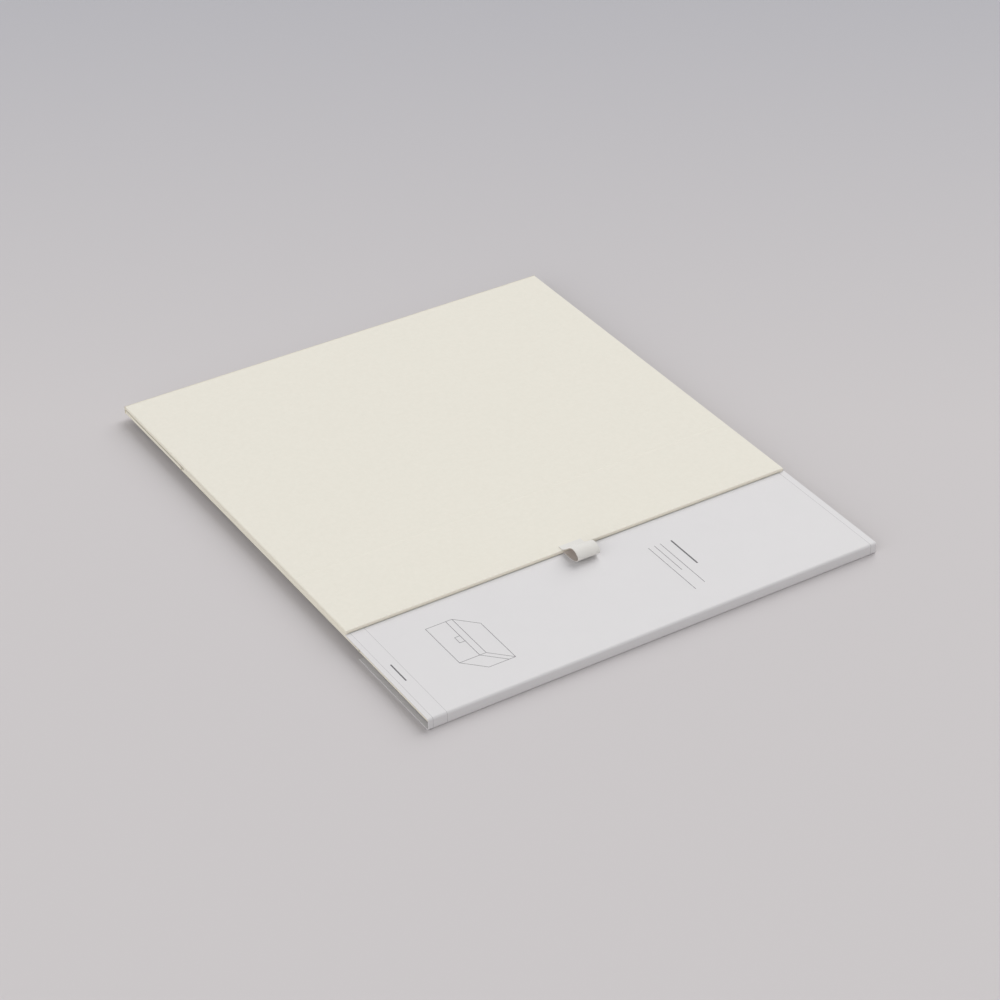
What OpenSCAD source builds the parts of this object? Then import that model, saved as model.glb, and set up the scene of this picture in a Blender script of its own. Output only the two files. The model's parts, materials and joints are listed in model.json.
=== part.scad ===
// Collapsible storage box with a magnetic flap, folded flat, in a paper sleeve.
// From the front: front wall (in the sleeve), base, back wall; above them flap and lid.
// The lid and the back wall meet in a cloth spine at the rear. Y = 0 at the front fold
// while the pieces are laid out, and placed() moves the middle of the whole to the origin.

/* [Box] */
// Width of the lid and the flap
box_w = 440; // [220:1:600]
// Depth of the base, from the front fold to the back fold
base_d = 306.5; // [240:1:420]
// Height of the front and back walls when the box stands open
wall_h = 108.5; // [80:0.5:120]
// Depth of the flap that closes over the front wall
flap_d = 86.5; // [50:0.5:95]
// How far each end of the lower panels stays inside the lid's ends
end_inset = 0.5; // [0:0.1:3]

/* [Thickness] */
// Linen cover on the outside of every panel
cover_t = 0.3; // [0.2:0.05:0.6]
// Paper lining on the inside of every panel
lining_t = 0.3; // [0.2:0.05:0.6]
// Board of the base
base_board_t = 1.4; // [1:0.1:3]
// Board of the back wall
back_board_t = 2.6; // [1.5:0.1:3]
// Outer board of the front wall
front_outer_t = 1.5; // [1:0.1:2]
// Inner board of the front wall, which holds the steel plates
front_inner_t = 1.5; // [1.2:0.1:2]
// Board of each side wall
side_board_t = 1.4; // [1:0.1:1.8]
// Board of the lid and the flap
lid_board_t = 2.4; // [2:0.1:4]
// Cloth strip in each fold
crease_t = 0.3; // [0.2:0.05:0.5]
// Cloth web in each corner
gusset_t = 0.25; // [0.15:0.05:0.4]

/* [Folds] */
// Gap between a fold's axis and the board of the wall that turns on it
fold_gap = 2.3; // [2.1:0.1:4]
// Gap between the flap fold's axis and the flap's board
flap_gap = 3.2; // [3.1:0.1:5]
// Gap between the fold of a side wall and its board
side_gap = 0.5; // [0.4:0.1:2]
// Running clearance between neighbouring panels
clear = 0.3; // [0.2:0.05:0.6]
// Clearance between the closed flap and the front wall
flap_clear = 0.5; // [0.3:0.1:2]
// Clearance between the ends of a side wall and the front and back walls
side_end_clear = 0.6; // [0.5:0.1:2]
// Room between the folded side walls and the lid above them
lid_clear = 1.3; // [1:0.1:3]
// How much lower than the back wall's arm a side wall ends under the lid
side_top_clear = 1.3; // [0.8:0.1:4]

/* [Riser] */
// Felt under the riser
felt_t = 1; // [0.5:0.1:2]
// Riser board under the base
riser_t = 4.8; // [4.5:0.1:8]
// Inset of the riser from the edges of the base
riser_inset = 13; // [8:1:40]

/* [Closure] */
// Radius of the magnets in the flap
magnet_r = 8; // [4:0.5:15]
// Thickness of the magnets
magnet_t = 1.6; // [1:0.1:1.9]
// Distance of the magnets from the flap's free edge
magnet_edge = 20; // [16:1:30]
// Distance of the magnets from the box's ends
magnet_end = 75; // [20:1:100]
// Radius of the steel plates in the front wall
plate_r = 10; // [5:0.5:16]
// Thickness of the steel plates
plate_t = 0.8; // [0.5:0.1:1.1]
// Radial clearance of a magnet or a plate in its pocket
pocket_clear = 0.15; // [0.05:0.05:0.5]

/* [Ribbon] */
// Width of the pull ribbon
ribbon_w = 22; // [10:1:40]
// Thickness of the ribbon
ribbon_t = 0.5; // [0.3:0.1:0.8]
// How far the ribbon's loop stands out in front of the flap
ribbon_reach = 14.2; // [8:0.1:14.3]
// How far the ribbon's loop stands above the flap
ribbon_rise = 8.2; // [1:0.1:10]
// Length of ribbon that lies on top of the flap
ribbon_lap = 6.6; // [3:0.1:20]

/* [Sleeve] */
// Thickness of the paper sleeve
sleeve_t = 0.5; // [0.3:0.1:0.8]
// How far each end of the sleeve stands past the lid
sleeve_out = 0.75; // [0:0.05:3]
// Gap between the sleeve's front edge and the front wall inside it
sleeve_gap = 0.8; // [0.5:0.1:2]
// Radius of the sleeve's upper front edge
sleeve_top_r = 2; // [1:0.1:2.2]
// Radius of the sleeve's lower front edge
sleeve_low_r = 1; // [0.6:0.1:2]
// How far the top sheet drops from the flap to the front edge
sleeve_droop = 0.3; // [0:0.05:0.4]
// Gap between the sleeve's rear edge and the flap
sleeve_rear_gap = 0.5; // [0.2:0.1:2]
// Distance of the bottom sheet's rear edge from the front fold
sleeve_low_back = 3.5; // [2.5:0.5:40]

/* [Hidden] */
$fn = 48;
linen = [0.87, 0.86, 0.81];
paper = [0.93, 0.93, 0.91];
greyboard = [0.62, 0.59, 0.54];
end_x = box_w / 2 - end_inset;

// Heights, from the surface that the box lies on
base_z = felt_t + riser_t;
base_top = base_z + cover_t + base_board_t + lining_t;
back_t = cover_t + back_board_t + lining_t;
front_t = cover_t + front_outer_t + front_inner_t + lining_t;
side_t = side_board_t + lining_t;
side_lift = 0.05;
side_axis_z = base_top + side_lift;
side_z = side_axis_z + side_lift;
lid_t = cover_t + lid_board_t + lining_t;
lid_z = side_z + side_t + lid_clear;
lid_top = lid_z + lid_t;

// Places along Y, from the front fold
back_fold_y = base_d;
spine_y = back_fold_y + wall_h;
spine_t = 0.8;
spine_front = spine_y + 0.7;
rear_y = spine_front + spine_t;
flap_fold_y = wall_h - lid_t - flap_clear;
flap_edge_y = flap_fold_y - flap_d;
sleeve_front = -wall_h - sleeve_gap - sleeve_t;
mid_y = (sleeve_front + rear_y) / 2;
side_fold_y = front_t + side_end_clear;
// The side walls start behind the sleeve's rear edge, which lies over their folds' front ends
side_front_y = max(side_fold_y, flap_edge_y - sleeve_rear_gap + clear);
side_back_y = back_fold_y - back_t - side_end_clear;
side_axis_x = end_x - side_t - side_lift;
side_h = wall_h + lid_z - side_axis_z - side_top_clear;
magnet_y = flap_edge_y + magnet_edge;
magnet_x = box_w / 2 - magnet_end;
// With the box open the lid stands wall_h higher, and the closed flap hangs down from its top
plate_y = -(lid_top + wall_h - base_z - (flap_fold_y - magnet_y));
sleeve_top = lid_z - 0.1;

module placed() {
  translate([0, -mid_y, 0]) children();
}

// A flat panel from end to end of the box, between two places along Y
module panel(half_w, y0, y1, z, t) {
  placed() translate([-half_w, y0, z]) cube([2 * half_w, y1 - y0, t]);
}

module two_discs(x, y, z, r, h) {
  placed() for (side = [-1, 1]) translate([side * x, y, z]) cylinder(r = r, h = h);
}

module riser(z, t) {
  panel(end_x - riser_inset, riser_inset, back_fold_y - riser_inset, z, t);
}

module riser_felt() { color([0.24, 0.24, 0.25]) riser(0, felt_t); }

module riser_board() { color(greyboard) riser(felt_t, riser_t); }

module base_sheet(z, t) {
  panel(end_x, clear, back_fold_y - clear, z, t);
}

module base_cover() { color(linen) base_sheet(base_z, cover_t); }

module base_board() { color(greyboard) base_sheet(base_z + cover_t, base_board_t); }

module base_lining() { color(paper) base_sheet(base_top - lining_t, lining_t); }

// Cloth in the fold between the base and the front wall
module front_crease_strip() {
  color(linen) panel(end_x, clear - fold_gap, clear, base_z, crease_t);
}

// Cloth in the fold between the base and the back wall
module back_crease_strip() {
  color(linen)
    panel(end_x, back_fold_y - clear, back_fold_y - clear + fold_gap, base_z, crease_t);
}

// Cloth in the fold of a side wall, on the edge of the base; side is -1 or 1
module side_crease_strip(side) {
  strip_w = end_x - side_axis_x + side_gap - clear;
  placed() translate([side * (end_x - strip_w / 2) - strip_w / 2, side_fold_y, base_top])
    cube([strip_w, side_back_y - side_fold_y, crease_t]);
}

module left_crease_strip() { color(linen) side_crease_strip(-1); }

module right_crease_strip() { color(linen) side_crease_strip(1); }

module back_wall_sheet(z, t) {
  panel(end_x, back_fold_y + fold_gap, spine_front - clear, z, t);
}

module back_wall_cover() { color(linen) back_wall_sheet(base_z, cover_t); }

module back_wall_board() { color(greyboard) back_wall_sheet(base_z + cover_t, back_board_t); }

module back_wall_lining() {
  color(paper) back_wall_sheet(base_z + back_t - lining_t, lining_t);
}

// Half of a corner web: a 45 degree triangle along the end of a wall.
// side is -1 for left or 1 for right, way is 1 towards the rear or -1 towards the front.
module gusset(side, way, fold_y, z) {
  start = fold_gap + side_end_clear;
  leg = wall_h - start - side_end_clear;
  placed() translate([side * end_x, fold_y + way * start, z])
    linear_extrude(gusset_t) polygon([[0, 0], [0, way * leg], [-side * leg, way * leg]]);
}

module back_left_gusset() { color(linen) gusset(-1, 1, back_fold_y, base_z + back_t); }

module back_right_gusset() { color(linen) gusset(1, 1, back_fold_y, base_z + back_t); }

module front_left_gusset() { color(linen) gusset(-1, -1, 0, base_z + front_t); }

module front_right_gusset() { color(linen) gusset(1, -1, 0, base_z + front_t); }

// Upright cloth strip that joins the back wall to the lid
module spine_strip() {
  color(linen) panel(box_w / 2, spine_front, rear_y, base_z, lid_top - base_z);
}

module lid_sheet(z, t) {
  panel(box_w / 2, flap_fold_y + clear, spine_front - clear, z, t);
}

module lid_lining() { color(paper) lid_sheet(lid_z, lining_t); }

module lid_board() { color(greyboard) lid_sheet(lid_z + lining_t, lid_board_t); }

module lid_cover() { color(linen) lid_sheet(lid_top - cover_t, cover_t); }

// Cloth in the fold between the lid and the flap, level with the top of both
module flap_crease_strip() {
  color(linen) panel(box_w / 2, flap_fold_y + clear - flap_gap, flap_fold_y + clear,
                     lid_top - crease_t, crease_t);
}

module flap_sheet(z, t) {
  panel(box_w / 2, flap_edge_y, flap_fold_y - flap_gap, z, t);
}

module flap_lining() { color(paper) flap_sheet(lid_z, lining_t); }

module flap_cover() { color(linen) flap_sheet(lid_top - cover_t, cover_t); }

// The magnets lie in round pockets that the lining closes
module flap_board() {
  color(greyboard) difference() {
    flap_sheet(lid_z + lining_t, lid_board_t);
    two_discs(magnet_x, magnet_y, lid_z, magnet_r + pocket_clear, lining_t + magnet_t);
  }
}

module flap_magnets() {
  color([0.7, 0.71, 0.73]) two_discs(magnet_x, magnet_y, lid_z + lining_t, magnet_r, magnet_t);
}

// A side wall lies folded in on the base; side is -1 for left or 1 for right
module side_sheet(side, z, t) {
  wide = side_h - side_gap;
  placed() translate([side * (side_axis_x - side_gap - wide / 2) - wide / 2, side_front_y, z])
    cube([wide, side_back_y - side_front_y, t]);
}

module left_wall_board() { color(greyboard) side_sheet(-1, side_z + lining_t, side_board_t); }

module left_wall_lining() { color(paper) side_sheet(-1, side_z, lining_t); }

module right_wall_board() { color(greyboard) side_sheet(1, side_z + lining_t, side_board_t); }

module right_wall_lining() { color(paper) side_sheet(1, side_z, lining_t); }

module front_sheet(z, t) {
  panel(end_x, -wall_h, -fold_gap, z, t);
}

module front_wall_cover() { color(linen) front_sheet(base_z, cover_t); }

module front_outer_board() { color(greyboard) front_sheet(base_z + cover_t, front_outer_t); }

// The steel plates lie in round pockets that the lining closes
module front_inner_board() {
  inner_z = base_z + cover_t + front_outer_t;
  color(greyboard) difference() {
    front_sheet(inner_z, front_inner_t);
    two_discs(magnet_x, plate_y, inner_z + front_inner_t - plate_t, plate_r + pocket_clear,
              plate_t + lining_t);
  }
}

module front_wall_lining() {
  color(paper) front_sheet(base_z + front_t - lining_t, lining_t);
}

module closure_plates() {
  color([0.55, 0.56, 0.58])
    two_discs(magnet_x, plate_y, base_z + front_t - lining_t - plate_t, plate_r, plate_t);
}

// Points of a band of one thickness along a path: out on one side, back on the other
function heading(path, i) =
  let (a = path[max(i - 1, 0)], b = path[min(i + 1, len(path) - 1)]) (b - a) / norm(b - a);
function beside(path, i, d) = path[i] + d * [-heading(path, i)[1], heading(path, i)[0]];
function band(path, t) = concat(
  [for (i = [0:len(path) - 1]) beside(path, i, t / 2)],
  [for (i = [len(path) - 1:-1:0]) beside(path, i, -t / 2)]);
function arc(centre, r, from, to, steps) =
  [for (i = [0:steps]) centre + r * [cos(from + (to - from) * i / steps),
                                     sin(from + (to - from) * i / steps)]];

// Turns a shape drawn as (Y, Z) into a bar along X, w wide and centred
module across(w) {
  placed() translate([-w / 2, 0, 0]) rotate([90, 0, 90]) linear_extrude(w) children();
}

// Loop at the middle of the flap's free edge: it lies on top, stands out and turns back in
module pull_ribbon() {
  half = ribbon_t / 2;
  top = lid_top + half + 0.05;
  low = lid_z + half + 0.05;
  bend_r = (lid_top + ribbon_rise - low) / 2;
  tip = flap_edge_y - ribbon_reach + half;
  steep = atan2(low + 2 * bend_r - top, ribbon_reach - bend_r);
  path = concat(
    [[flap_edge_y + ribbon_lap, top], [flap_edge_y + ribbon_lap / 4, top]],
    arc([tip + bend_r, low + bend_r], bend_r, 90 - steep, 270, 14),
    [[flap_edge_y - half, low]]);
  color([0.87, 0.86, 0.85]) across(ribbon_w) polygon(band(path, ribbon_t));
}

// Paper folded round the front wall: a top sheet, a front edge and a bottom sheet
module sleeve() {
  half = sleeve_t / 2;
  top = sleeve_top - half;
  front_top = top - sleeve_droop;
  front_y = sleeve_front + half;
  path = concat(
    [[flap_edge_y - sleeve_rear_gap, top]],
    [[0, top]],
    arc([front_y + sleeve_top_r, front_top - sleeve_top_r], sleeve_top_r, 90, 180, 8),
    arc([front_y + sleeve_low_r, half + sleeve_low_r], sleeve_low_r, 180, 270, 6),
    [[-sleeve_low_back, half]]);
  color([0.9, 0.89, 0.9]) across(box_w + 2 * sleeve_out) polygon(band(path, sleeve_t));
}

riser_felt();
riser_board();
base_cover();
base_board();
base_lining();
front_crease_strip();
back_crease_strip();
left_crease_strip();
right_crease_strip();
back_wall_cover();
back_wall_board();
back_wall_lining();
back_left_gusset();
back_right_gusset();
spine_strip();
lid_cover();
lid_board();
lid_lining();
flap_crease_strip();
flap_cover();
flap_board();
flap_lining();
flap_magnets();
pull_ribbon();
left_wall_board();
left_wall_lining();
right_wall_board();
right_wall_lining();
front_wall_cover();
front_outer_board();
front_inner_board();
front_wall_lining();
closure_plates();
front_left_gusset();
front_right_gusset();
sleeve();
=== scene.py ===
import json
import math
import bpy
import numpy as np
from mathutils import Matrix, Vector


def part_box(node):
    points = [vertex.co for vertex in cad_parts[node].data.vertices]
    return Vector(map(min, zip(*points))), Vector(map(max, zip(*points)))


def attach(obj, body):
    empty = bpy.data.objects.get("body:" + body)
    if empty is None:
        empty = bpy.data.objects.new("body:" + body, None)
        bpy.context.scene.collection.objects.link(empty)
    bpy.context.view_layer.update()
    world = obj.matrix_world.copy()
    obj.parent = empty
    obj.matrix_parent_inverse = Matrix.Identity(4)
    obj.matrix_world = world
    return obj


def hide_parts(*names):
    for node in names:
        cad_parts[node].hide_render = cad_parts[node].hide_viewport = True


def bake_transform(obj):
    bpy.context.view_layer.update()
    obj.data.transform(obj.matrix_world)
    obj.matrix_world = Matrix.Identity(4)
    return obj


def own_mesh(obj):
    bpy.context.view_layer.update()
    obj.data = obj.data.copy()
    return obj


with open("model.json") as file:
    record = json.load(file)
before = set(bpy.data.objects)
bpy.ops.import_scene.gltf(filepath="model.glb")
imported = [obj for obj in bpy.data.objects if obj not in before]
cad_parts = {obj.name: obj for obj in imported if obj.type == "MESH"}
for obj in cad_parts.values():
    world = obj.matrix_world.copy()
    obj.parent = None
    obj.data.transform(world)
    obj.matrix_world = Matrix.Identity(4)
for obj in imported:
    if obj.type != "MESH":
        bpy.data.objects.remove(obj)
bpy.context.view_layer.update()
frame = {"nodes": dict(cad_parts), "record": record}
mm = 0.001
joints = {joint["name"]: joint for joint in frame["record"]["behaviour"]["joints"]}
print("frame:", len(frame["nodes"]), "nodes")


# Camera, floor and light

cameraLook = {"azimuth": -32.632, "elevation": 34.467, "roll": 0.128, "lens": 102.6,
              "distance": 2.46641, "target": (-0.004193, -0.027078, 0.0), "clipEnd": 50}
# The floor's far colour is darker as painted shade: the light falls off away from the camera
floorLook = {"size": 9.0, "near": (201, 197, 198), "far": (179, 178, 183),
             "fadeFrom": 0.1, "fadeTo": 1.0, "roughness": 0.95, "drop": 0.05 * mm}
# Each lamp: strength, softness in degrees, and the direction that it shines from
lightLook = {"world": 0.42, "backdrop": (203, 201, 203),
             "lamps": {"backLamp": (2.1, 58.0, (0.8, 0.45, 0.75)),
                       "leftFill": (1.9, 75.0, (-0.85, -0.4, 0.2))}}


# Screen colour to linear: ((c + 0.055) / 1.055) ^ 2.4 above the knee
def tone(red, green, blue):
    c = np.array([red, green, blue]) / 255
    return (*np.where(c > 0.04045, ((c + 0.055) / 1.055) ** 2.4, c / 12.92).tolist(), 1.0)


# The camera stands back from the target along (sin a cos e, -cos a cos e, sin e); right is
# (cos a, sin a, 0), up is back x right, and the roll turns right towards up
def placeCamera(look):
    a, e, roll = (math.radians(look[k]) for k in ("azimuth", "elevation", "roll"))
    back = Vector((math.sin(a) * math.cos(e), -math.cos(a) * math.cos(e), math.sin(e)))
    right = Vector((math.cos(a), math.sin(a), 0))
    up = back.cross(right)
    rolledRight = right * math.cos(roll) + up * math.sin(roll)
    rolledUp = up * math.cos(roll) - right * math.sin(roll)
    data = bpy.data.cameras.new("photoCamera")
    data.lens = look["lens"]
    data.clip_end = look["clipEnd"]
    camera = bpy.data.objects.new("photoCamera", data)
    bpy.context.collection.objects.link(camera)
    place = Vector(look["target"]) + back * look["distance"]
    turned = Matrix((rolledRight, rolledUp, back)).transposed()
    camera.matrix_world = Matrix.Translation(place) @ turned.to_4x4()
    bpy.context.scene.camera = camera


# One Math node, fed in turn with sockets or numbers
def calc(tree, operation, *values):
    node = tree.nodes.new("ShaderNodeMath")
    node.operation = operation
    for socket, value in zip(node.inputs, values):
        feed(tree, socket, value)
    return node.outputs[0]


# Links a socket, or sets a plain value
def feed(tree, socket, value):
    if isinstance(value, bpy.types.NodeSocket):
        tree.links.new(value, socket)
    else:
        socket.default_value = value


# A shader node of one kind, with its inputs fed and its settings set
def shadeNode(tree, kind, feeds, **settings):
    node = tree.nodes.new("ShaderNode" + kind)
    for key, value in settings.items():
        setattr(node, key, value)
    for key, value in feeds.items():
        feed(tree, node.inputs[key], value)
    return node


# A material with its shader, and Object coordinates whole and as x, y and z
def newMaterial(name, **sockets):
    material = bpy.data.materials.new(name)
    material.use_nodes = True
    tree = material.node_tree
    shader = tree.nodes["Principled BSDF"]
    for key, value in sockets.items():
        shader.inputs[key.replace("_", " ")].default_value = value
    place = tree.nodes.new("ShaderNodeTexCoord").outputs["Object"]
    parts = shadeNode(tree, "SeparateXYZ", {0: place})
    return material, tree, shader, place, parts.outputs


# Noise on Object coordinates, stretched by a scale along each axis
def grain(tree, place, scale, detail=3.0):
    mapped = shadeNode(tree, "Mapping", {"Vector": place, "Scale": scale}).outputs[0]
    return shadeNode(tree, "TexNoise", {"Vector": mapped, "Scale": 1.0, "Detail": detail},
                     noise_dimensions="3D").outputs["Fac"]


# Colour mix: first (1 - factor) + second factor
def mixed(tree, factor, first, second):
    node = tree.nodes.new("ShaderNodeMix")
    node.data_type = "RGBA"
    feed(tree, node.inputs[0], factor)
    feed(tree, node.inputs[6], first)
    feed(tree, node.inputs[7], second)
    return node.outputs[2]


# Bends the shading by a height, in shares of a distance
def bumped(tree, shader, height, strength, distance):
    bump = shadeNode(tree, "Bump", {"Height": height, "Strength": strength,
                                    "Distance": distance})
    tree.links.new(bump.outputs[0], shader.inputs["Normal"])


# The floor fades from near to far with the distance away from the camera, y cos a - x sin a;
# this darkening away from the camera is painted shade.
# The camera sees the backdrop at strength 1, and all else sees the world at its own strength
def buildStage(floor, light):
    bpy.ops.mesh.primitive_plane_add(size=floor["size"], location=(0, 0, -floor["drop"]))
    plane = bpy.context.object
    plane.name = "floor"
    material, tree, shader, _, xyz = newMaterial("floorPaper", Roughness=floor["roughness"])
    a = math.radians(cameraLook["azimuth"])
    away = calc(tree, "ADD", calc(tree, "MULTIPLY", xyz[0], -math.sin(a)),
                calc(tree, "MULTIPLY", xyz[1], math.cos(a)))
    fade = shadeNode(tree, "MapRange", {0: away, 1: floor["fadeFrom"], 2: floor["fadeTo"]})
    tree.links.new(mixed(tree, fade.outputs[0], tone(*floor["near"]), tone(*floor["far"])),
                   shader.inputs["Base Color"])
    plane.data.materials.append(material)
    world = bpy.data.worlds.new("studio")
    bpy.context.scene.world = world
    world.use_nodes = True
    tree = world.node_tree
    sky = tree.nodes["Background"]
    path = tree.nodes.new("ShaderNodeLightPath").outputs["Is Camera Ray"]
    tree.links.new(mixed(tree, path, (1, 1, 1, 1), tone(*light["backdrop"])),
                   sky.inputs["Color"])
    strength = shadeNode(tree, "MapRange", {0: path, 3: light["world"], 4: 1.0})
    tree.links.new(strength.outputs[0], sky.inputs["Strength"])
    for name, (energy, softness, direction) in light["lamps"].items():
        lamp = bpy.data.lights.new(name, "SUN")
        lamp.energy = energy
        lamp.angle = math.radians(softness)
        sun = bpy.data.objects.new(name, lamp)
        bpy.context.collection.objects.link(sun)
        sun.rotation_euler = Vector(direction).to_track_quat("Z", "Y").to_euler()


placeCamera(cameraLook)
buildStage(floorLook, lightLook)
bpy.context.scene.view_settings.view_transform = "Standard"
print("camera, floor and light placed")


# Materials

# rim is painted shade: a darker, yellower tone laid on the boards' rounded edges
linenLook = {"light": (232, 228, 217), "dark": (224, 220, 208), "rim": (229, 223, 208),
             "thread": 0.45 * mm, "lean": 0.7, "roughness": 0.88, "sheen": 0.12,
             "sheenRoughness": 0.5, "weaveShare": 0.25, "slubShare": 0.45, "mottleShare": 0.7,
             "shadeBase": -0.45, "slubLong": 190, "slubAcross": 1400, "slubDeep": 900,
             "mottle": 240, "mottleDetail": 5.0, "slubHeight": 0.4, "bump": 0.3,
             "depth": 0.06 * mm}
# Fold cloth: the lid's linen painted yellower and a touch lighter, as painted light and shade
paintedLightClothLook = dict(linenLook, light=(234, 229, 215), dark=(225, 219, 203))
paperGrain = {"fine": 2600, "fineDetail": 4.0, "cloud": 55, "cloudDetail": 2.0,
              "fineShare": 0.5, "cloudShare": 0.5, "bump": 0.15, "depth": 0.05 * mm}
paperLook = dict(paperGrain, light=(217, 215, 216), dark=(212, 210, 211), roughness=0.62)
liningLook = dict(paperGrain, light=(236, 233, 226), dark=(229, 225, 216), roughness=0.85)
# inner is painted shade: a darker, browner tone on the inner side of the loop
ribbonLook = {"light": (230, 228, 223), "dark": (214, 211, 206), "inner": (200, 191, 184),
              "rib": 0.7 * mm, "roughness": 0.7, "sheen": 0.2, "sheenRoughness": 0.4,
              "ribShare": 0.6, "noiseShare": 0.4, "noise": 900, "bump": 0.5,
              "depth": 0.12 * mm}
fibreGrain = {"detail": 6.0, "blotch": 90, "fibreShare": 0.75, "blotchShare": 0.25, "bump": 0.6}
boardLook = dict(fibreGrain, light=(158, 151, 140), dark=(132, 125, 115), roughness=0.95,
                 scale=(500, 500, 5000), depth=0.1 * mm)
# The riser's felt is painted dark grey as painted shade of the gap under the stack
paintedShadeFeltLook = dict(fibreGrain, light=(74, 74, 78), dark=(44, 44, 47), roughness=1.0,
                scale=(1400, 1400, 1400), depth=0.3 * mm)
inkLook = dict(fibreGrain, light=(112, 110, 113), dark=(92, 90, 94), roughness=0.7,
               scale=(2000, 2000, 2000), depth=0.01 * mm)
metalGrain = {"marks": (4000, 200, 200), "detail": 2.0, "spread": 0.15, "bump": 0.1,
              "depth": 0.02 * mm}
nickelLook = dict(metalGrain, colour=(205, 206, 209), roughness=0.18)
plateLook = dict(metalGrain, colour=(176, 178, 181), roughness=0.34)
# Places along x of the fine rules printed from the rear edge to the front edge, and their width
printLook = {"rules": (-216.26 * mm, -203.28 * mm, 214.83 * mm), "width": 0.34 * mm,
             "ink": (176, 174, 176)}


# Plain weave: height is half plus half of sin(pi a / p) sin(pi b / p), where a = x + lean z and
# b = y + lean z run on over the rims; slubs are noise stretched along each thread
def linenMaterial(name, look):
    material, tree, shader, place, xyz = newMaterial(
        name, Roughness=look["roughness"], Sheen_Weight=look["sheen"],
        Sheen_Roughness=look["sheenRoughness"])
    lean = calc(tree, "MULTIPLY", xyz[2], look["lean"])
    warp, weft = calc(tree, "ADD", xyz[0], lean), calc(tree, "ADD", xyz[1], lean)
    pitch = math.pi / look["thread"]
    crossing = calc(tree, "MULTIPLY", calc(tree, "SINE", calc(tree, "MULTIPLY", warp, pitch)),
                    calc(tree, "SINE", calc(tree, "MULTIPLY", weft, pitch)))
    weave = calc(tree, "MULTIPLY_ADD", crossing, 0.5, 0.5)
    long, across, deep = look["slubLong"], look["slubAcross"], look["slubDeep"]
    slubs = calc(tree, "ADD", grain(tree, place, (long, across, deep)),
                 grain(tree, place, (across, long, deep)))
    mottle = grain(tree, place, (look["mottle"],) * 3, look["mottleDetail"])
    shade = calc(tree, "MULTIPLY_ADD", mottle, look["mottleShare"], look["shadeBase"])
    shade = calc(tree, "MULTIPLY_ADD", slubs, look["slubShare"], shade)
    # The weave's low places are painted darker: painted shade between the threads
    shade = calc(tree, "MULTIPLY_ADD", weave, look["weaveShare"], shade)
    shade = calc(tree, "MINIMUM", calc(tree, "MAXIMUM", shade, 0.0), 1.0)
    colour = mixed(tree, shade, tone(*look["dark"]), tone(*look["light"]))
    # Painted shade: the attribute rim mixes in the rim tone on the boards' rounded edges
    rim = shadeNode(tree, "Attribute", {}, attribute_name="rim").outputs["Fac"]
    tree.links.new(mixed(tree, rim, colour, tone(*look["rim"])), shader.inputs["Base Color"])
    height = calc(tree, "MULTIPLY_ADD", slubs, look["slubHeight"], weave)
    bumped(tree, shader, height, look["bump"], look["depth"])
    return material


# Fibres are noise at two sizes; printed rules are where |x - rule| is under half their width
def paperMaterial(name, look, rules=None):
    material, tree, shader, place, xyz = newMaterial(name, Roughness=look["roughness"])
    fine = grain(tree, place, (look["fine"],) * 3, look["fineDetail"])
    cloud = grain(tree, place, (look["cloud"],) * 3, look["cloudDetail"])
    shade = calc(tree, "MULTIPLY_ADD", fine, look["fineShare"],
                 calc(tree, "MULTIPLY", cloud, look["cloudShare"]))
    colour = mixed(tree, shade, tone(*look["dark"]), tone(*look["light"]))
    for ruleX in (rules["rules"] if rules else ()):
        away = calc(tree, "ABSOLUTE", calc(tree, "SUBTRACT", xyz[0], ruleX))
        printed = calc(tree, "LESS_THAN", away, rules["width"] / 2)
        colour = mixed(tree, printed, colour, tone(*rules["ink"]))
    tree.links.new(colour, shader.inputs["Base Color"])
    bumped(tree, shader, fine, look["bump"], look["depth"])
    return material


# Ribs across the ribbon: height is half plus half of sin(2 pi s / rib), s the length along it
def ribbonMaterial(name, look):
    material, tree, shader, place, _ = newMaterial(
        name, Roughness=look["roughness"], Sheen_Weight=look["sheen"],
        Sheen_Roughness=look["sheenRoughness"])
    along = shadeNode(tree, "Attribute", {}, attribute_name="along").outputs["Fac"]
    wave = calc(tree, "SINE", calc(tree, "MULTIPLY", along, 2 * math.pi / look["rib"]))
    ribs = calc(tree, "MULTIPLY_ADD", wave, 0.5, 0.5)
    noise = grain(tree, place, (look["noise"],) * 3)
    # Rib troughs are painted darker than crests: painted shade between the ribs; the noise is
    # uneven tone
    shade = calc(tree, "MULTIPLY_ADD", ribs, look["ribShare"],
                 calc(tree, "MULTIPLY", noise, look["noiseShare"]))
    colour = mixed(tree, shade, tone(*look["dark"]), tone(*look["light"]))
    # Painted shade: the loop's inner side takes the darker inner tone
    inner = shadeNode(tree, "Attribute", {}, attribute_name="inner").outputs["Fac"]
    tree.links.new(mixed(tree, inner, colour, tone(*look["inner"])),
                   shader.inputs["Base Color"])
    bumped(tree, shader, ribs, look["bump"], look["depth"])
    return material


# Layers or fibres are noise at the look's own scale along each axis, and blotches coarse noise
def fibreMaterial(name, look):
    material, tree, shader, place, _ = newMaterial(name, Roughness=look["roughness"])
    fibres = grain(tree, place, look["scale"], look["detail"])
    blotches = grain(tree, place, (look["blotch"],) * 3)
    shade = calc(tree, "MULTIPLY_ADD", fibres, look["fibreShare"],
                 calc(tree, "MULTIPLY", blotches, look["blotchShare"]))
    tree.links.new(mixed(tree, shade, tone(*look["dark"]), tone(*look["light"])),
                   shader.inputs["Base Color"])
    bumped(tree, shader, fibres, look["bump"], look["depth"])
    return material


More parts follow.
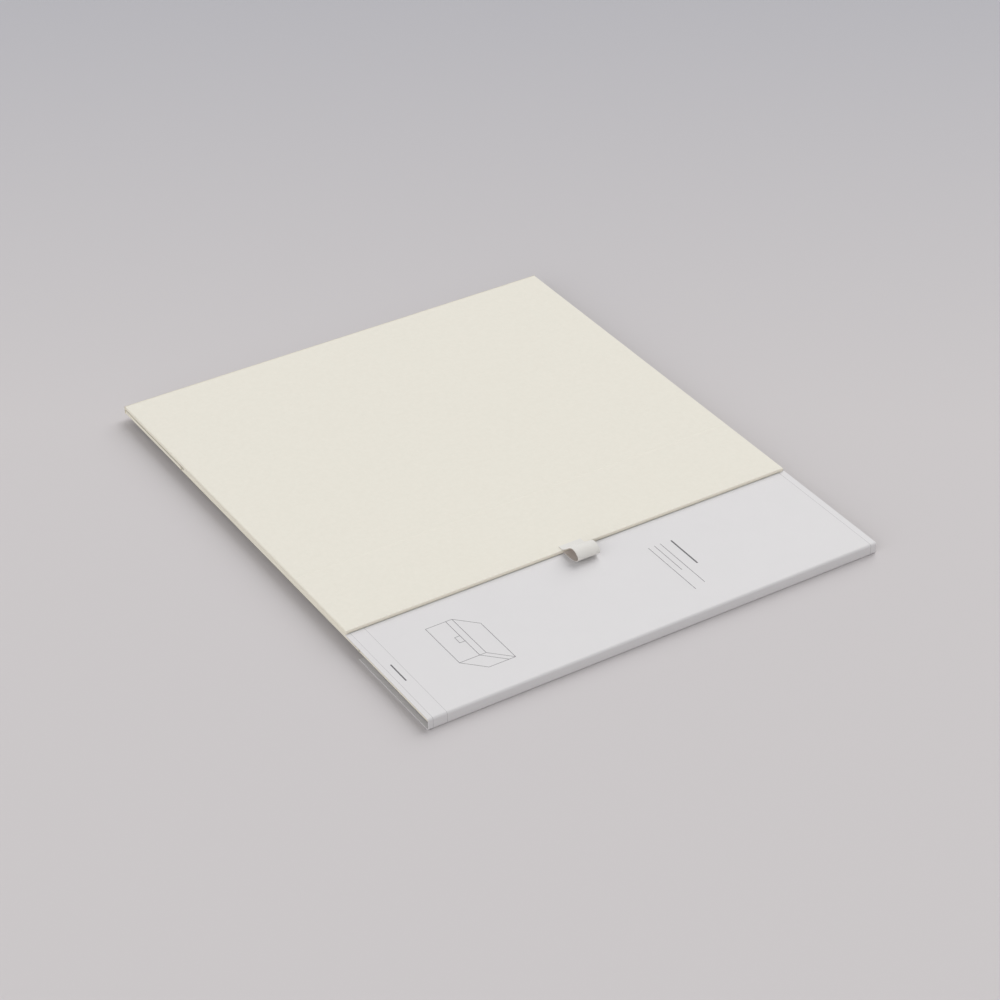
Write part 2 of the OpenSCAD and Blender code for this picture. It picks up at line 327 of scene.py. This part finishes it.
# Metal with fine straight marks: noise crowded along x, which also varies the roughness
def metalMaterial(name, look):
    material, tree, shader, place, _ = newMaterial(name, Metallic=1.0,
                                                   Base_Color=tone(*look["colour"]))
    marks = grain(tree, place, look["marks"], look["detail"])
    tree.links.new(calc(tree, "MULTIPLY_ADD", marks, look["spread"], look["roughness"]),
                   shader.inputs["Roughness"])
    bumped(tree, shader, marks, look["bump"], look["depth"])
    return material


linen = linenMaterial("linen", linenLook)
paintedLightFoldCloth = linenMaterial("paintedLightFoldCloth", paintedLightClothLook)
sleeveCard = paperMaterial("sleeveCard", paperLook, printLook)
liningPaper = paperMaterial("liningPaper", liningLook)
wovenRibbon = ribbonMaterial("wovenRibbon", ribbonLook)
greyBoard = fibreMaterial("greyBoard", boardLook)
paintedShadeFelt = fibreMaterial("paintedShadeFelt", paintedShadeFeltLook)
nickel = metalMaterial("nickel", nickelLook)
plateSteel = metalMaterial("plateSteel", plateLook)
printInk = fibreMaterial("printInk", inkLook)
print("materials made")


# Shapes

meshLook = {"rimRows": 7, "rimShare": 0.49, "decimals": 7, "tiny": 1e-12}


# The points and faces of a closed body between two grids: the upper grid, the lower grid
# turned over, and a wall of quads along their shared outline
def closedSheet(upper, lower):
    rows, columns = upper.shape[:2]
    index = np.arange(rows * columns).reshape(rows, columns)
    face = np.stack([index[:-1, :-1], index[1:, :-1], index[1:, 1:], index[:-1, 1:]], -1)
    face = face.reshape(-1, 4)
    outline = np.concatenate([index[:-1, 0], index[-1, :-1], index[:0:-1, -1],
                              index[0, :0:-1]])
    after = np.roll(outline, -1)
    wall = np.stack([outline + index.size, after + index.size, after, outline], -1)
    points = np.concatenate([upper.reshape(-1, 3), lower.reshape(-1, 3)])
    return points, np.concatenate([face, face[:, ::-1] + index.size, wall])


# One object of closed sheets: each sheet's faces count on from the points before it
def makePiece(name, sheets, material, sharp=50.0, **attributes):
    points = np.concatenate([sheet[0] for sheet in sheets])
    starts = np.cumsum([0] + [len(sheet[0]) for sheet in sheets])
    faces = np.concatenate([sheet[1] + start for sheet, start in zip(sheets, starts)])
    mesh = bpy.data.meshes.new(name)
    mesh.from_pydata(points.tolist(), [], faces.tolist())
    for key, values in attributes.items():
        mesh.attributes.new(key, "FLOAT", "POINT").data.foreach_set(
            "value", np.asarray(values, np.float32).ravel())
    mesh.materials.append(material)
    mesh.shade_smooth()
    mesh.set_sharp_from_angle(angle=math.radians(sharp))
    piece = bpy.data.objects.new(name, mesh)
    bpy.context.collection.objects.link(piece)
    return piece


# Places from low to high, crowded into both ends as r (1 - cos t), with even steps between
def crowded(low, high, r, step, extra=()):
    curve = r * (1 - np.cos(np.linspace(0, np.pi / 2, meshLook["rimRows"])))
    inner = np.linspace(low + r, high - r, max(int((high - low) / step), 2) + 1)
    places = np.concatenate([low + curve, inner, high - curve, np.asarray(extra, float)])
    return np.unique(np.round(places, meshLook["decimals"]))


# A board in its cover: both faces drop by r - sqrt(r^2 - h^2) near the rim, where h is how far
# the point lies inside the last r of the board, and corners are pulled in to the same radius
def coveredBoard(name, low, high, rim, material, step=6 * mm, rise=None, sink=None, extra=(),
                 lowRim=None):
    r = min(rim, meshLook["rimShare"] * (high[2] - low[2]))
    lowR = min(lowRim or r, r)
    x, y = np.meshgrid(crowded(low[0], high[0], r, step),
                       crowded(low[1], high[1], r, step, extra), indexing="ij")
    sideX = np.where(x < (low[0] + high[0]) / 2, 1, -1)
    sideY = np.where(y < (low[1] + high[1]) / 2, 1, -1)
    inX = np.clip(r - np.minimum(x - low[0], high[0] - x), 0, r)
    inY = np.clip(r - np.minimum(y - low[1], high[1] - y), 0, r)
    reach = np.hypot(inX, inY)
    pull = np.where(reach > r, r / np.maximum(reach, meshLook["tiny"]), 1)
    x, y = x + sideX * inX * (1 - pull), y + sideY * inY * (1 - pull)
    reach = np.minimum(reach, r)
    drop = r - np.sqrt(np.maximum(r * r - reach * reach, 0))
    lowReach = np.clip(lowR - r + reach, 0, lowR)
    lift = lowR - np.sqrt(np.maximum(lowR * lowR - lowReach * lowReach, 0))
    inside = 1 - reach / r
    upper = high[2] - drop + (rise(x, y) * inside if rise else 0)
    lower = low[2] + lift + (sink(x, y) * inside if sink else 0)
    sheet = closedSheet(np.stack([x, y, upper], -1), np.stack([x, y, lower], -1))
    # The attribute rim, (h / r)^2, is the mask of the linen's painted edge shade
    return makePiece(name, [sheet], material, rim=np.tile((reach / r).ravel() ** 2, 2))


# A smooth curve through points: cubic Hermite pieces on chord length, with each point's slope
# from its neighbours
def smoothPath(points, count):
    points = np.asarray(points, float)
    s = np.concatenate([[0], np.cumsum(np.hypot(*np.diff(points, axis=0).T))])
    slope = np.gradient(points, s, axis=0)
    t = np.linspace(0, s[-1], count)
    i = np.clip(np.searchsorted(s, t, side="right") - 1, 0, len(s) - 2)
    h = (s[i + 1] - s[i])[:, None]
    u = (t - s[i])[:, None] / h
    return ((1 + 2 * u) * (1 - u) ** 2 * points[i] + u * (1 - u) ** 2 * h * slope[i]
            + u * u * (3 - 2 * u) * points[i + 1] + u * u * (u - 1) * h * slope[i + 1])


# A strip of one thickness: the path's points are pushed half of it to each side along the
# path's normal, then carried in a straight line along x, or along y with (x, z) paths. The
# attribute along is the path's length so far, and inner is 1 on the side of the normal
def carriedStrip(name, path, thickness, stations, material, alongY=False, bend=None):
    tangent = np.gradient(path, axis=0)
    tangent /= np.linalg.norm(tangent, axis=1, keepdims=True)
    turn = -1 if alongY else 1
    normal = turn * np.stack([-tangent[:, 1], tangent[:, 0]], -1)
    grids = []
    for side in (0.5, -0.5):
        line = path + side * thickness * normal
        across = np.broadcast_to(np.asarray(stations)[:, None], (len(stations), len(path)))
        first = np.broadcast_to(line[None, :, 0], across.shape)
        z = np.broadcast_to(line[None, :, 1], across.shape)
        x, y = (first, across) if alongY else (across, first)
        grids.append(np.stack([x, y, z + (bend(x, y, z) if bend else 0)], -1))
    length = np.concatenate([[0], np.cumsum(np.linalg.norm(np.diff(path, axis=0), axis=1))])
    along = np.tile(length, 2 * len(stations))
    # inner masks the ribbon's painted shade; rim, the mask of the linen's painted edge shade, is
    # 0 here
    return makePiece(name, [closedSheet(*grids)], material, along=along,
                     inner=np.repeat([1, 0], len(along) // 2), rim=np.zeros(len(along)))


# The lowest and highest corners of all the nodes together
def span(*nodes):
    boxes = [np.array(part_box(node)) for node in nodes]
    return np.min([b[0] for b in boxes], axis=0), np.max([b[1] for b in boxes], axis=0)


# Hangs a piece on the body that it rides on and hides the nodes that it stands for; the
# finish's name, slotName, is not used
def dress(piece, body, slotName, *nodes):
    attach(piece, body)
    if nodes:
        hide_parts(*nodes)


# Lid and flap

lidLook = {"rim": 1.1 * mm, "lowRim": 0.4 * mm, "edgeOut": 0.25 * mm, "groove": 0.2 * mm,
           "grooveWidth": 0.9 * mm, "warp": 0.09 * mm, "channel": 0.7 * mm,
           "channelShare": 0.8, "foldReach": 2.5, "foldRows": 21, "turnIn": 4 * mm,
           "liningThick": 0.12 * mm, "liningProud": 0.8, "liningRim": 0.05 * mm,
           "liningStep": 20 * mm}


# One covered board from the spine to the flap's free edge, with a soft groove over the fold
# between the lid's board and the flap's and a channel under it, and a thin lining under each
# half
def buildLid(look):
    low, high = span("lid_cover", "lid_lining", "flap_cover", "flap_lining")
    lidStart = span("lid_board")[0][1]
    flapEnd = span("flap_board")[1][1]
    middle, half = (lidStart + flapEnd) / 2, (lidStart - flapEnd) / 2
    low = low + np.array([0, -look["edgeOut"], look["liningThick"] * look["liningProud"]])

    # Slow waves of the board, less a soft groove exp(-(d / w)^2) along the fold
    def rise(x, y):
        wave = np.sin(9 * x + 1) * np.sin(8 * y + 0.5) + 0.5 * np.sin(21 * x) * np.cos(17 * y)
        return (look["warp"] * 0.5 * (wave - 1)
                - look["groove"] * np.exp(-((y - middle) / look["grooveWidth"]) ** 2))

    # A channel under the fold, exp(-(d / w)^4), with w a share of half the gap
    def sink(x, y):
        width = look["channelShare"] * half
        return look["channel"] * np.exp(-((y - middle) / width) ** 4)

    reach = look["foldReach"] * half
    folds = np.linspace(middle - reach, middle + reach, look["foldRows"])
    board = coveredBoard("lidAndFlap", low, high, look["rim"], linen, rise=rise, sink=sink,
                         extra=folds, lowRim=look["lowRim"])
    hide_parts("lid_cover", "lid_board", "flap_cover", "flap_board",
                "flap_crease_strip")
    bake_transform(board)
    for name, body, node in (("lidLining", "lid", "lid_lining"),
                             ("flapLining", "flap", "flap_lining")):
        a, b = span(node)
        a, b = a + [look["turnIn"], look["turnIn"], 0], b - [look["turnIn"], look["turnIn"], 0]
        b[2] = a[2] + look["liningThick"]
        dress(coveredBoard(name, a, b, look["liningRim"], liningPaper,
                           step=look["liningStep"]), body, "lining_paper", node)


buildLid(lidLook)
print("lid and flap made")


# Walls and base

wallLook = {"rim": 0.8 * mm, "lowRim": 0.5 * mm, "turnIn": 5 * mm, "step": 9 * mm,
            "liningThick": 0.12 * mm, "liningProud": 0.8, "liningRim": 0.05 * mm,
            "liningStep": 20 * mm}
# Each panel: its body, the nodes that it stands for, its lining's node, and which face is lined
panels = {
    "basePanel": ("base", ("base_cover", "base_board"), "base_lining", 1),
    "backWallPanel": ("back_wall", ("back_wall_cover", "back_wall_board"),
                      "back_wall_lining", 1),
    "frontWallPanel": ("front_wall", ("front_wall_cover", "front_outer_board",
                                      "front_inner_board"), "front_wall_lining", 1),
    "leftWallPanel": ("left_wall", ("left_wall_board",), "left_wall_lining", -1),
    "rightWallPanel": ("right_wall", ("right_wall_board",), "right_wall_lining", -1),
}


# A covered board in the nodes' shared box, and a thin lining set in from the rim of the lined
# face, of whose thickness a share stands proud
def buildPanel(name, body, nodes, liningNode, lined, look):
    low, high = span(*nodes, liningNode)
    liningLow, liningHigh = low.copy(), high.copy()
    thick = look["liningThick"]
    if lined > 0:
        liningLow[2], high[2] = high[2] - thick, high[2] - look["liningProud"] * thick
    else:
        liningHigh[2], low[2] = low[2] + thick, low[2] + look["liningProud"] * thick
    inset = np.array([look["turnIn"], look["turnIn"], 0])
    dress(coveredBoard(name, low, high, look["rim"], linen, step=look["step"],
                       lowRim=look["lowRim"]), body, "linen", *nodes)
    dress(coveredBoard(name.replace("Panel", "Lining"), liningLow + inset,
                       liningHigh - inset, look["liningRim"], liningPaper,
                       step=look["liningStep"]), body, "lining_paper", liningNode)


for panelName, (body, nodes, liningNode, lined) in panels.items():
    buildPanel(panelName, body, nodes, liningNode, lined, wallLook)
print("base and walls made")


# Cloth in the folds, and the spine

foldLook = {"lap": 0.5 * mm, "cloth": 0.3 * mm, "stations": 61, "rows": 17, "innerSink": 0.6,
            "sideRows": 21, "sideFrom": 219.4 * mm, "sideTo": 217.2 * mm,
            "spineCloth": 0.5 * mm, "spineRows": 41}


# The outer cloth lies flat under the gap between the boards; the inner one runs over it from
# the base's top to the wall's, along z0 + (z1 - z0) s^2 (3 - 2 s)
def buildFrontAndBackFolds(look):
    for name, node, wall, lining in (
            ("backCrease", "back_crease_strip", "back_wall", "back_wall_lining"),
            ("frontCrease", "front_crease_strip", "front_wall", "front_wall_lining")):
        low, high = span(node)
        baseSide, wallSide = (low[1], high[1]) if wall == "back_wall" else (high[1], low[1])
        y = np.linspace(low[1] - look["lap"], high[1] + look["lap"], look["rows"])
        s = np.clip((y - baseSide) / (wallSide - baseSide), 0, 1)
        outer = np.full_like(y, (low[2] + high[2]) / 2)
        z0, z1 = span("base_lining")[1][2], span(lining)[1][2]
        inner = z0 + (z1 - z0) * s * s * (3 - 2 * s) - look["innerSink"] * look["cloth"]
        for layer, z in (("Cloth", outer), ("Lining", inner)):
            strip = carriedStrip(name + layer, np.stack([y, z], -1), look["cloth"],
                                 np.linspace(low[0], high[0], look["stations"]), paintedLightFoldCloth)
            if layer == "Cloth":
                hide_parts(node)
            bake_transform(strip)


# Over the base's edge and on to the folded side wall, as heights in mm at |x| in mm
sideFoldShape = ((219.3, 6.4), (219.3, 8.6), (218.9, 9.3), (218.2, 9.65), (216.4, 9.72))


# The shape is turned over for the left side and carried along y
def buildSideFolds(look):
    for name, node, wall, side in (("leftFoldCloth", "left_crease_strip", "left_wall", -1),
                                   ("rightFoldCloth", "right_crease_strip", "right_wall", 1)):
        low, high = span(node)
        path = smoothPath(np.array(sideFoldShape) * mm, look["sideRows"]) * [side, 1]
        strip = carriedStrip(name, path, look["cloth"],
                             np.linspace(low[1], high[1], look["stations"]), paintedLightFoldCloth,
                             alongY=True)
        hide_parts(node)
        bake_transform(strip)


# The spine's outline in mm: distance in front of its rear face, and height
spineShape = ((1.3, 13.62), (0.55, 13.1), (0.25, 12.0), (0.25, 10.0), (0.25, 8.0),
              (0.5, 6.6), (1.4, 6.06))


# The outline is cut at its middle: the upper half curves over to the lid and the lower one
# to the back wall. Each row also gives a body and two heights in mm
def buildSpine(look):
    low, high = span("spine_strip")
    path = smoothPath([(high[1] - d * mm, z * mm) for d, z in spineShape], look["spineRows"])
    middle = len(path) // 2
    stations = np.linspace(low[0], high[0], look["stations"])
    for name, part, body, start, end in (
            ("spineUpper", path[:middle + 1], "lid", 11.8, 13.5),
            ("spineLower", path[middle:], "back_wall", 7.8, 6.2)):
        strip = carriedStrip(name, part, look["spineCloth"], stations, paintedLightFoldCloth)
        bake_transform(strip)
        if name == "spineUpper":
            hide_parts("spine_strip")


buildFrontAndBackFolds(foldLook)
buildSideFolds(foldLook)
buildSpine(foldLook)
print("folds and spine made")


# Sleeve

sleeveLook = {"card": 0.5 * mm, "topRadius": 2 * mm, "lowRadius": 1 * mm, "droop": 0.3 * mm,
              "wave": 0.07 * mm, "lowBack": 3.5 * mm, "stations": 121, "arcRows": 13,
              "rearRows": 6, "sheetRows": 26, "backRows": 14, "edgeOut": 0.25 * mm}
sleeveLow, sleeveHigh = span("sleeve")
sleeveHigh[1] += sleeveLook["edgeOut"]  # up to the flap's rounded edge
frontFoldY = joints["front_wall_fold"]["pos_m"][1]


# Slow waves of the top sheet, never above its flat height and still at both long edges
def sleeveWave(x, y):
    t = np.clip((y - sleeveLow[1]) / (sleeveHigh[1] - sleeveLow[1]), 0, 1)
    wave = 1 + 0.6 * np.sin(17 * x + 0.8) + 0.4 * np.sin(39 * x + 3 * t)
    return -sleeveLook["wave"] * wave * np.sin(np.pi * t)


# Points on an arc about a centre: centre + r (cos t, sin t), from one angle to the other
def quarter(centreY, centreZ, r, start, end):
    t = np.radians(np.linspace(start, end, sleeveLook["arcRows"]))
    return np.stack([centreY + r * np.cos(t), centreZ + r * np.sin(t)], -1)


# Top sheet, front edge with two quarter rounds, bottom sheet
def buildSleeve(look):
    half = look["card"] / 2
    top = sleeveHigh[2] - half
    front, topR, lowR = sleeveLow[1] + half, look["topRadius"], look["lowRadius"]
    frontTop = top - look["droop"]
    rearY = np.linspace(sleeveHigh[1], frontFoldY, look["rearRows"])[:-1]
    sheetY = np.linspace(frontFoldY, front + topR, look["sheetRows"])[:-1]
    backY = np.linspace(front + lowR, frontFoldY - look["lowBack"], look["backRows"])[1:]
    slope = (frontFoldY - sheetY) / (frontFoldY - front - topR)
    path = np.concatenate([
        np.stack([rearY, np.full_like(rearY, top)], -1),
        np.stack([sheetY, top - look["droop"] * slope], -1),
        quarter(front + topR, frontTop - topR, topR, 90, 180),
        quarter(front + lowR, half + lowR, lowR, 180, 270),
        np.stack([backY, np.full_like(backY, half)], -1)])
    stations = np.linspace(sleeveLow[0], sleeveHigh[0], look["stations"])
    middle = (sleeveLow[2] + sleeveHigh[2]) / 2

    # Only the top sheet waves
    def bend(x, y, z):
        return np.where(z > middle, sleeveWave(x, y), 0)

    piece = carriedStrip("sleeve", path, look["card"], stations, sleeveCard, bend=bend)
    dress(piece, "sleeve_wrap", "sleeve_card", "sleeve")


buildSleeve(sleeveLook)

# A plain line figure of a lidded box and thin rules for lines of print, in mm: to the right
# along the print, and up
figureLook = {"centre": (-142.4, -199.2), "line": 0.42, "strokes": (
    (-36, -20, 16, -20), (16, -20, 16, 5), (16, 5, -36, 5), (-36, 5, -36, -20),
    (-36, 5, -19, 22), (-19, 22, 33, 22), (33, 22, 16, 5), (16, -20, 33, -3),
    (33, -3, 33, 22), (-36, -1, 16, -1), (16, -1, 33, 16), (-14, -1, -14, -6),
    (-14, -6, -6, -6), (-6, -6, -6, -1))}
rulesLook = {"centre": (62.0, -187.0), "line": 0.45, "strokes": (
    (-20, 4, 44, 4), (-20, -2, 20, -2), (-20, -8, 48, -8))}
headingRuleLook = {"centre": (76.5, -187.0), "line": 1.5, "strokes": ((-19, 0, 19, 0),)}
sizeRuleLook = {"centre": (-209.8, -200.0), "line": 1.3, "strokes": ((-12, 0, 12, 0),)}
strokeLook = {"rows": 25, "above": 0.03 * mm, "below": 0.01 * mm}


# Each stroke is a thin closed bar that lies on the top sheet: points along it are pushed half
# its width to both sides and lifted to the sheet's height there
def buildPrint(name, look):
    cx, cy = look["centre"]
    half = sleeveLook["card"] / 2
    frontTopY = sleeveLow[1] + half + sleeveLook["topRadius"]
    sheets = []
    for u0, v0, u1, v1 in look["strokes"]:
        start = np.array([cx + v0, cy - u0]) * mm
        end = np.array([cx + v1, cy - u1]) * mm
        unit = (end - start) / np.linalg.norm(end - start)
        side = np.array([-unit[1], unit[0]]) * look["line"] / 2 * mm
        t = np.linspace(0, 1, strokeLook["rows"])[:, None]
        middle = start + (end - start) * t
        grid = np.stack([middle + side, middle - side], 1)
        fall = np.clip((frontFoldY - grid[..., 1]) / (frontFoldY - frontTopY), 0, 1)
        z = (sleeveHigh[2] - sleeveLook["droop"] * fall
             + sleeveWave(grid[..., 0], grid[..., 1]))
        upper = np.concatenate([grid, (z + strokeLook["above"])[..., None]], -1)
        lower = np.concatenate([grid, (z - strokeLook["below"])[..., None]], -1)
        sheets.append(closedSheet(upper[:, ::-1], lower[:, ::-1]))
    dress(makePiece(name, sheets, printInk), "sleeve_wrap", "sleeve_card")


for printName, look in (("boxFigure", figureLook), ("printRules", rulesLook),
                        ("headingRule", headingRuleLook), ("sizeRule", sizeRuleLook)):
    buildPrint(printName, look)
print("sleeve and its print made")


# Ribbon

# The loop from the flap's top out and back, in mm: distance behind the flap's free edge, height.
# It reaches past its CAD solid
loopLook = {"thick": 0.42 * mm, "rows": 161, "stations": 13, "lean": 1.3 * mm,
            "leanOver": 4 * mm, "keep": 0.6, "path": (
    (6.0, 14.16), (3.5, 14.16), (1.5, 14.18), (0.0, 14.6), (-3.2, 16.5), (-6.2, 19.0),
    (-9.3, 21.2), (-12.3, 22.2), (-15.3, 22.1), (-18.4, 20.7), (-20.6, 18.6), (-21.4, 16.8),
    (-20.6, 14.9), (-18.0, 13.0), (-15.3, 11.9), (-12.3, 11.3), (-9.0, 11.2), (-5.0, 11.25),
    (-1.6, 11.7), (-0.5, 12.2))}


# The path is carried along x. A point then moves to the right by lean times its distance in
# front of the flap's edge over leanOver, and at most by lean
def buildRibbon(look):
    low, high = span("pull_ribbon")
    edgeY = span("flap_cover")[0][1]
    path = smoothPath([(edgeY + d * mm, z * mm) for d, z in look["path"]], look["rows"])
    piece = carriedStrip("pullRibbon", path, look["thick"],
                         np.linspace(low[0], high[0], look["stations"]), wovenRibbon)
    place = np.empty(3 * len(piece.data.vertices))
    piece.data.vertices.foreach_get("co", place)
    place = place.reshape(-1, 3)
    share = np.clip((edgeY - place[:, 1]) / look["leanOver"], 0, 1)
    place[:, 0] += look["lean"] * share
    piece.data.vertices.foreach_set("co", place.ravel())
    piece.data.update()
    dress(piece, "flap", "ribbon", "pull_ribbon")
    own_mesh(piece)


buildRibbon(loopLook)
print("ribbon made")


# CAD pieces that stay

kept = {"riser_felt": paintedShadeFelt, "riser_board": greyBoard, "flap_magnets": nickel,
        "closure_plates": plateSteel, "back_left_gusset": paintedLightFoldCloth,
        "back_right_gusset": paintedLightFoldCloth, "front_left_gusset": paintedLightFoldCloth,
        "front_right_gusset": paintedLightFoldCloth}
for nodeName, material in kept.items():
    node = frame["nodes"][nodeName]
    if not node.material_slots:
        node.data.materials.append(material)
    for slot in node.material_slots:
        slot.material = material
print("kept pieces finished")
